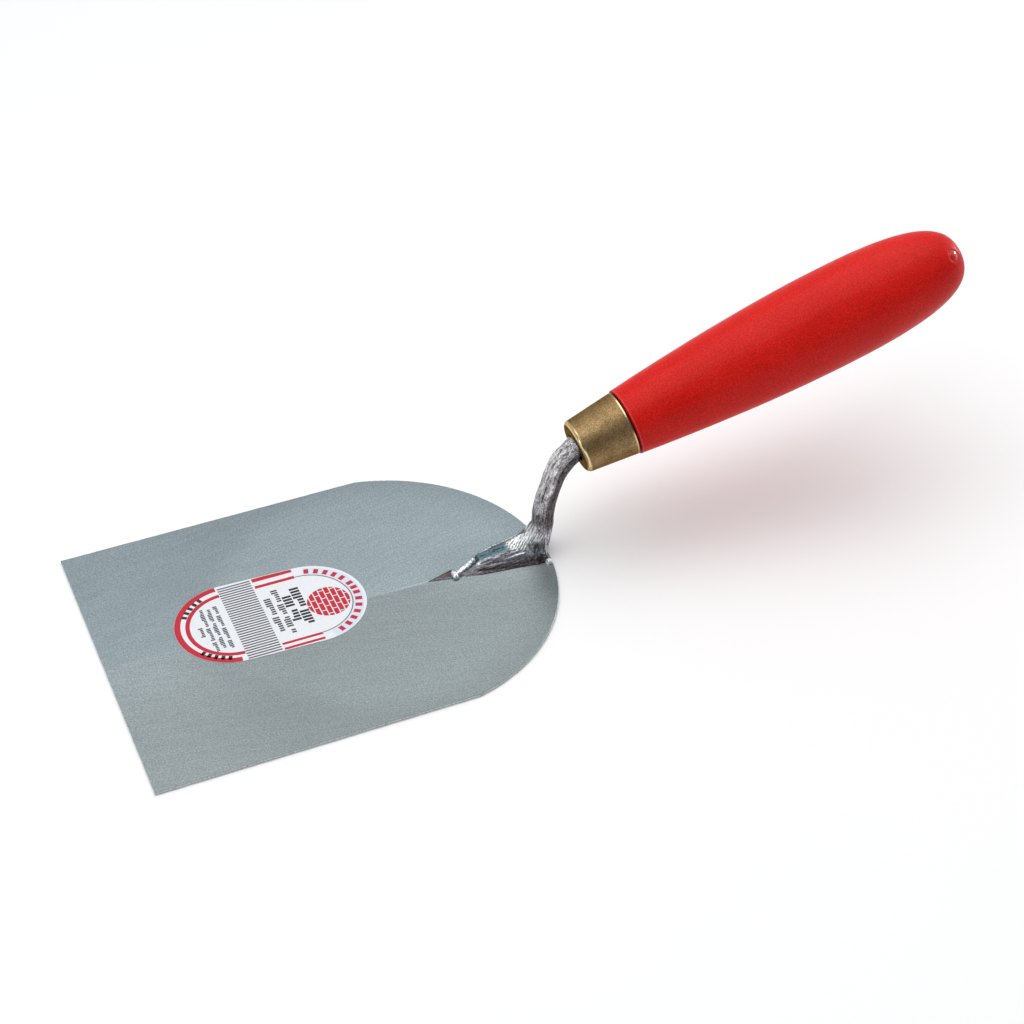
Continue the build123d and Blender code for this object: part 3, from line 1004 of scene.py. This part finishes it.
def neck_relief(points, flow, gone, angle, foot, marks):
    """How far the hammer, the dies and the bending push each point of the neck out or in."""
    x, y, z = points.T
    top = BLADE_TOP / MM
    lumps = 0.20 * noise_at(flow, (0.16, 0.35, 0.35), 3.1)
    ridges = 0.21 * noise_at(flow, (0.10, 1.05, 1.05), 7.7) * (1 - 0.85 * foot)
    ripples = 0.11 * noise_at(flow, (0.35, 1.9, 1.9), 1.9)
    crease = smoothstep(54, 57, x) * (1 - smoothstep(11, 13, gone))
    crease = -0.14 * crease * bell(up_flank(x, y), crease_share(x), 0.04)
    ribs = 0.10 * marks.drawn * marks.draw_lines
    bare = smoothstep(top + 0.05, top + 0.7, z)
    push = (lumps + ridges + ripples + crease + ribs + 0.3 * marks.spatter_and_glint) * bare
    seated = smoothstep(40, 44, gone) * np.clip(0.2 + np.cos(angle - math.radians(-20)), 0, 1)
    elbow = smoothstep(30, 38, gone) * (1 - smoothstep(42, 45, gone))
    elbow = elbow * np.clip(np.cos(angle - math.radians(-155)), 0, 1)
    hidden = smoothstep(94, 96, x)
    return (push + 0.9 * seated + 0.8 * elbow) * (1 - hidden)


def build_neck():
    mesh = remeshed("neck", NECK_VOXEL, 5)
    points, normals = points_and_normals(mesh)
    gone, angle = along_bar(points)
    foot = 1 - smoothstep(70, 74, points[:, 0])
    straight = np.column_stack([gone, NECK_RADIUS * np.cos(angle), NECK_RADIUS * np.sin(angle)])
    flow = straight * (1 - foot[:, None]) + points * (FOOT_FLOW, 1, 1) * foot[:, None]
    marks = NeckMarks(points, gone, angle)
    moved = points + normals * neck_relief(points, flow, gone, angle, foot, marks)[:, None]
    moved[:, 2] = np.maximum(moved[:, 2], BLADE_TOP / MM)
    move_points(mesh, moved)
    store_vectors(mesh, "flow", flow * MM)
    store_vectors(mesh, "worked", np.column_stack([marks.filed, foot, np.zeros(len(foot))]))
    store_colours(mesh, "tint", neck_tint(points, normals, gone, angle, marks))
    add_piece("neck_forging", mesh, forged_steel(), "neck", "neck")


def blend_colour(base, colour, weight):
    return base + (np.array(colour[:3]) - base) * weight[:, None]


def up_flank(x, y):
    """Share of the way from the right base edge (0) over the shoulder to the crest (1)."""
    ahead, right, crest = np.array(FOOT_STATIONS[::-1]).T
    gone = BLADE_HIGH.x / MM - x
    edge, top = np.interp(gone, ahead, right), np.interp(gone, ahead, crest)
    return (y - edge) / (top - edge)


def crease_share(x):
    """Share of the flank at which its hammered upper part meets the plain lower one."""
    return 0.36 - 0.17 * np.clip((x - 54) / 24, 0, 1)


def neck_tint(points, normals, gone, angle, marks):
    """Colours left by heat, hammer and grinder, from the spear point up to the ferrule, with painted
    shade on one side of the bar and under the ferrule, and painted highlights on the ribs and a
    spattered weld drop.

    Places are in millimetres: x from the blade's middle, height above it, gone along the bar.
    """
    x, y, z = points.T
    height = z - BLADE_TOP / MM
    share = up_flank(x, y)
    tint = np.tile(np.array(rgb(238, 232, 236)[:3]), (len(points), 1))
    blotch = noise_at(points, (0.35, 0.35, 0.22), 8.3)
    low_bar = (1 - smoothstep(14, 21, gone + 4 * blotch)) * smoothstep(10, 13, gone)
    tint = blend_colour(tint, rgb(172, 164, 165), low_bar)
    # Painted shade: the side of the bar turned away from the light is darkened.
    shaded_side = smoothstep(-0.2, 0.6, np.cos(angle - math.radians(-150)))
    tint = blend_colour(tint, rgb(94, 89, 91), shaded_side)
    on_foot = 1 - smoothstep(8.5, 11.5, height + 3 * blotch)
    crest = on_foot * smoothstep(0.52, 0.66, share) * smoothstep(1.9, 1.4, share)
    crest *= 1 - smoothstep(75, 78.5, x + 2 * blotch)
    # Painted highlight and shade: lighter on the crests of the drawn ribs, darker between them.
    tint *= (1 + 0.3 * marks.drawn * marks.draw_lines)[:, None]
    flank = on_foot - crest
    tint = blend_colour(tint, rgb(176, 178, 187), flank)
    lower = flank * smoothstep(0.03, -0.03, share - crease_share(x))
    tint = blend_colour(tint, rgb(106, 100, 104), lower)
    # Painted shade: the bar darkens where it runs in under the ferrule.
    shade_under_ferrule = smoothstep(38, 42, gone)
    tint *= (1 - 0.22 * shade_under_ferrule)[:, None]
    tint = blend_colour(tint, rgb(78, 96, 103), crest)
    tint = blend_colour(tint, rgb(244, 248, 252), marks.filed)
    nose = on_foot * (1 - smoothstep(52.5, 54.5, x))
    tint = blend_colour(tint, rgb(100, 97, 101), nose * smoothstep(0.7, 0.55, share))
    spear = 1 - smoothstep(44.2, 45.2, x)
    tint = blend_colour(tint, rgb(80, 70, 67), spear)
    tint = blend_colour(tint, rgb(84, 94, 104), spear * smoothstep(-0.3, -0.5, normals[:, 1]))
    tint = np.clip(tint, 0, 1)
    # Painted glint: the spattered drop is painted white.
    return blend_colour(tint, rgb(255, 255, 255), np.clip(1.6 * marks.spatter_and_glint, 0, 1))


def build_bead(name, node, metal, pitch, depth, proud=0.0):
    """Weld bead with the ripples that the pool leaves as it freezes, lengths in millimetres."""
    mesh = remeshed(node, BEAD_VOXEL, 3)
    points, normals = points_and_normals(mesh)
    ripples = np.sin(points[:, 0] / pitch * 2 * math.pi + 0.8 * points[:, 1])
    rough = noise_at(points, (1.3, 1.3, 1.3), 5.5)
    bare = smoothstep(0.02, 0.3, points[:, 2] - BLADE_TOP / MM)
    push = (proud + depth * (0.5 * ripples + rough)) * bare
    move_points(mesh, points + normals * push[:, None])
    add_piece(name, mesh, metal, "weld", node)


def build_welds():
    # One weld metal in a lit and a shaded copy: the darker copy on the left bead is painted shade.
    shaded_copy = weld_metal("shaded_weld", rgb(176, 186, 192), rgb(84, 98, 108))
    bright = weld_metal("lit_weld", rgb(246, 250, 255), rgb(104, 124, 136))
    build_bead("weld_left_bead", "weld_left", shaded_copy, 1.1, 0.14)
    build_bead("weld_right_bead", "weld_right", bright, 1.1, 0.14)
    build_bead("weld_tip_bead", "weld_tip", bright, 1.3, 0.18, 0.22)


# ---------------------------------------------------------------- stage


# Floor: how far it reaches each way, and how far it lies under the blade, in metres.
FLOOR_REACH = 3.0
FLOOR_DROP = 0.0001

# Lamps: name, place, what it points at, size in metres, and radiance.
LAMPS = [
    ("overhead_softbox", (0.0, 0.15, 1.5), (0.06, 0.0, 0.03), (2.5, 1.8), 1.86),
    ("right_lamp", (1.35, 0.35, 0.22), (0.20, 0.0, 0.08), (0.14, 0.14), 45.0),
    ("left_strip", (-1.1, -0.35, 0.42), (0.08, 0.0, 0.03), (0.3, 0.6), 2.0),
]

# Camera: place and target in metres, and lens in millimetres on a sensor 36 mm wide.
CAMERA_PLACE = (-0.15446, -0.54799, 0.49610)
CAMERA_TARGET = (0.06345, -0.01148, 0.030)
CAMERA_ROLL = math.radians(-1.26)
CAMERA_LENS = 76.57


def area_light(name, place, target, size, radiance):
    """White rectangular lamp, whose energy follows from its radiance and size."""
    lamp = bpy.data.lights.new(name, "AREA")
    lamp.shape = "RECTANGLE"
    lamp.size, lamp.size_y = size
    lamp.energy = radiance * math.pi * size[0] * size[1]
    shown = bpy.data.objects.new(name, lamp)
    bpy.context.scene.collection.objects.link(shown)
    shown.location = place
    aim = Vector(target) - Vector(place)
    shown.rotation_euler = aim.to_track_quat("-Z", "Y").to_euler()


def build_floor():
    reach = FLOOR_REACH
    corners = [(-reach, -reach), (reach, -reach), (reach, reach), (-reach, reach)]
    mesh = make_mesh("floor", [(x, y, -FLOOR_DROP) for x, y in corners], [(0, 1, 2, 3)], False)
    floor = bpy.data.objects.new("floor", mesh)
    bpy.context.scene.collection.objects.link(floor)
    board = Recipe("pale_floor", Roughness=0.9)
    tone = board.noise(board.place((3, 3, 3)), 2, 0.5)
    base = board.mix(tone, rgb(246, 246, 246), rgb(248, 248, 248))
    mesh.materials.append(board.finish(Base_Color=base))


def build_world():
    """Dim surroundings that grow brighter towards +Y."""
    world = bpy.data.worlds.new("studio")
    bpy.context.scene.world = world
    world.use_nodes = True
    tree = world.node_tree
    background = next(n for n in tree.nodes if n.type == "BACKGROUND")
    where = tree.nodes.new("ShaderNodeTexCoord")
    split = tree.nodes.new("ShaderNodeSeparateXYZ")
    span = tree.nodes.new("ShaderNodeMapRange")
    span.interpolation_type = "SMOOTHSTEP"
    tree.links.new(where.outputs["Generated"], split.inputs[0])
    tree.links.new(split.outputs[1], span.inputs["Value"])
    for socket, value in (("From Min", -0.8), ("From Max", 0.5), ("To Min", 0.10), ("To Max", 0.55)):
        span.inputs[socket].default_value = value
    tree.links.new(span.outputs[0], background.inputs["Strength"])
    background.inputs["Color"].default_value = (0.96, 0.98, 1.0, 1.0)


def build_lights():
    for name, place, target, size, radiance in LAMPS:
        area_light(name, place, target, size, radiance)


def build_camera():
    camera = bpy.data.cameras.new("camera")
    camera.lens = CAMERA_LENS
    camera.sensor_width = 36
    camera.clip_start, camera.clip_end = 0.01, 20
    shown = bpy.data.objects.new("camera", camera)
    bpy.context.scene.collection.objects.link(shown)
    shown.location = CAMERA_PLACE
    aim = Vector(CAMERA_TARGET) - shown.location
    roll = Matrix.Rotation(CAMERA_ROLL, 3, "Z").to_quaternion()
    shown.rotation_mode = "QUATERNION"
    shown.rotation_quaternion = aim.to_track_quat("-Z", "Y") @ roll
    bpy.context.scene.camera = shown
    bpy.context.scene.view_settings.view_transform = "Standard"


build_blade()
build_label()
build_grip()
build_neck()
build_welds()
build_floor()
build_world()
build_lights()
build_camera()
